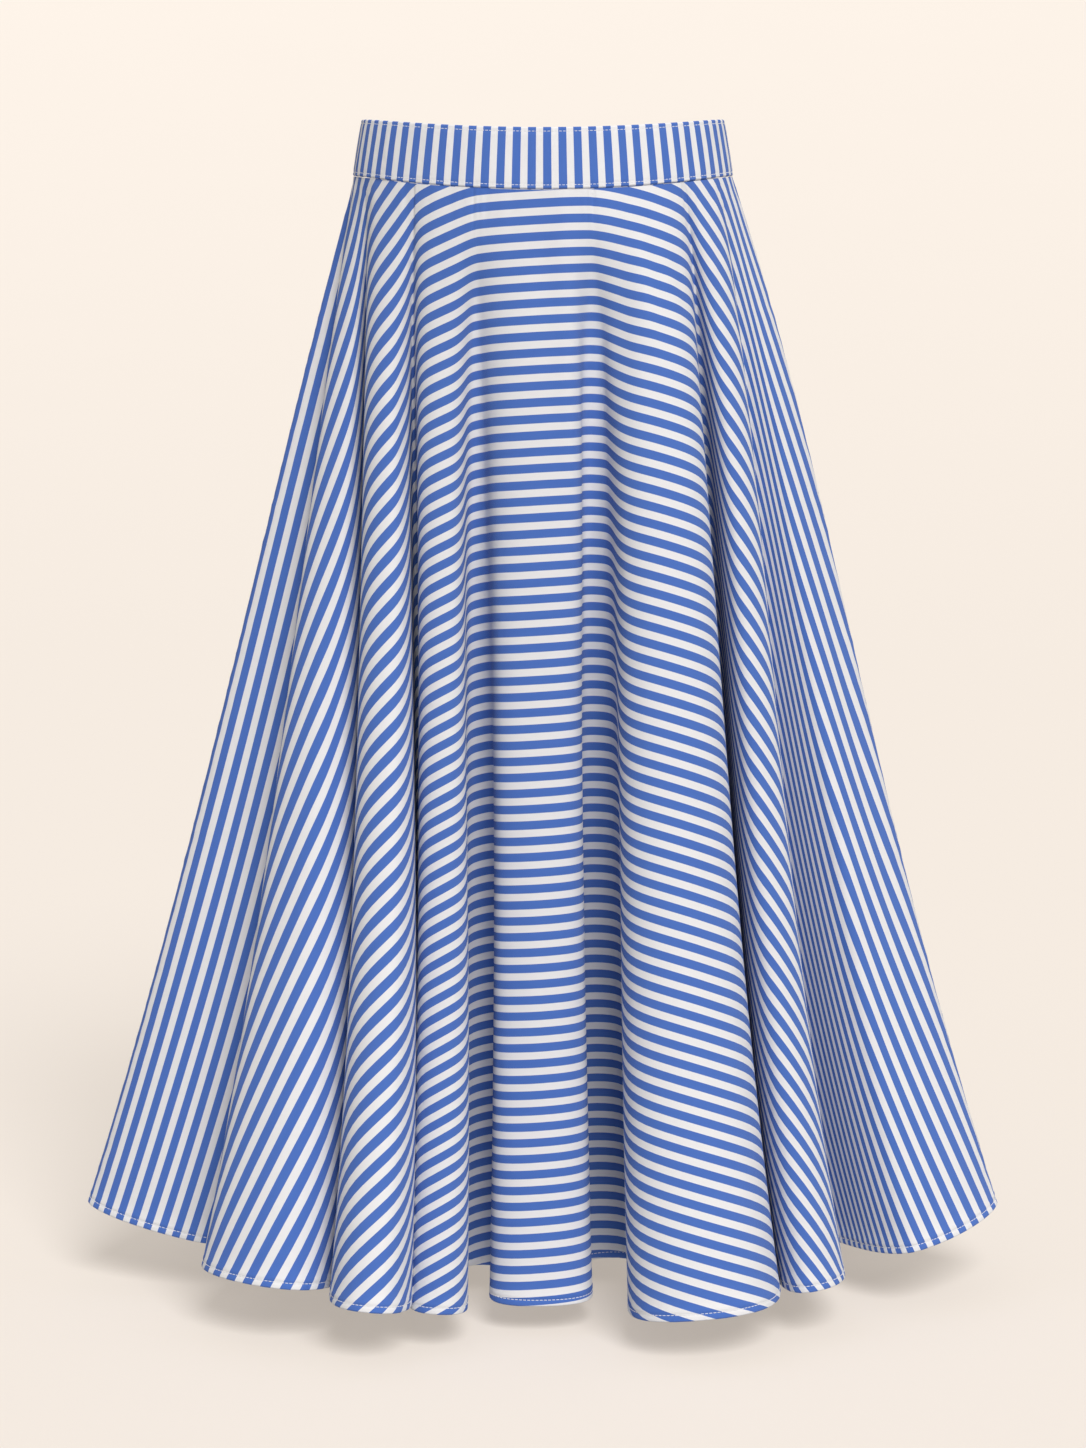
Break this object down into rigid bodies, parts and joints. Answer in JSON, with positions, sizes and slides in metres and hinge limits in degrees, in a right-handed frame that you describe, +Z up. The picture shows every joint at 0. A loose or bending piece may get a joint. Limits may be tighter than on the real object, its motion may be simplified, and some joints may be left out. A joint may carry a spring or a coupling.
{
  "type": "circle skirt",
  "caption": "Long full-circle skirt in striped cotton, standing open in its worn shape, with a fitted waistband and a concealed back zip.",
  "frame": {"origin": "middle of the waist opening, half way up the waistband, where the wearer's waist holds the skirt", "axes": "+Z up, the front faces -Y, +X is the wearer's left"},
  "size_m": [0.7104, 0.4654, 0.8703],
  "materials": {
    "stripe_cotton": "crisp plain-woven cotton, even blue and white stripes, slight sheen",
    "zip_tape": "woven tape with a nylon coil",
    "zip_metal": "plated metal"
  },
  "bodies": {
    "skirt": {"front_panel": "stripe_cotton", "back_panel_left": "stripe_cotton", "back_panel_right": "stripe_cotton", "waistband": "stripe_cotton", "zip_tapes": "zip_tape", "zip_slider": "zip_metal"},
    "pull_tab": {"zip_pull": "zip_metal"}
  },
  "joints": [
    {"name": "pull_tab_swing", "type": "hinge", "parent": "skirt", "child": "pull_tab", "pos_m": [0, 0.09625, 0.00977], "axis": [1, 0, 0], "range_deg": [0, 170]}
  ]
}
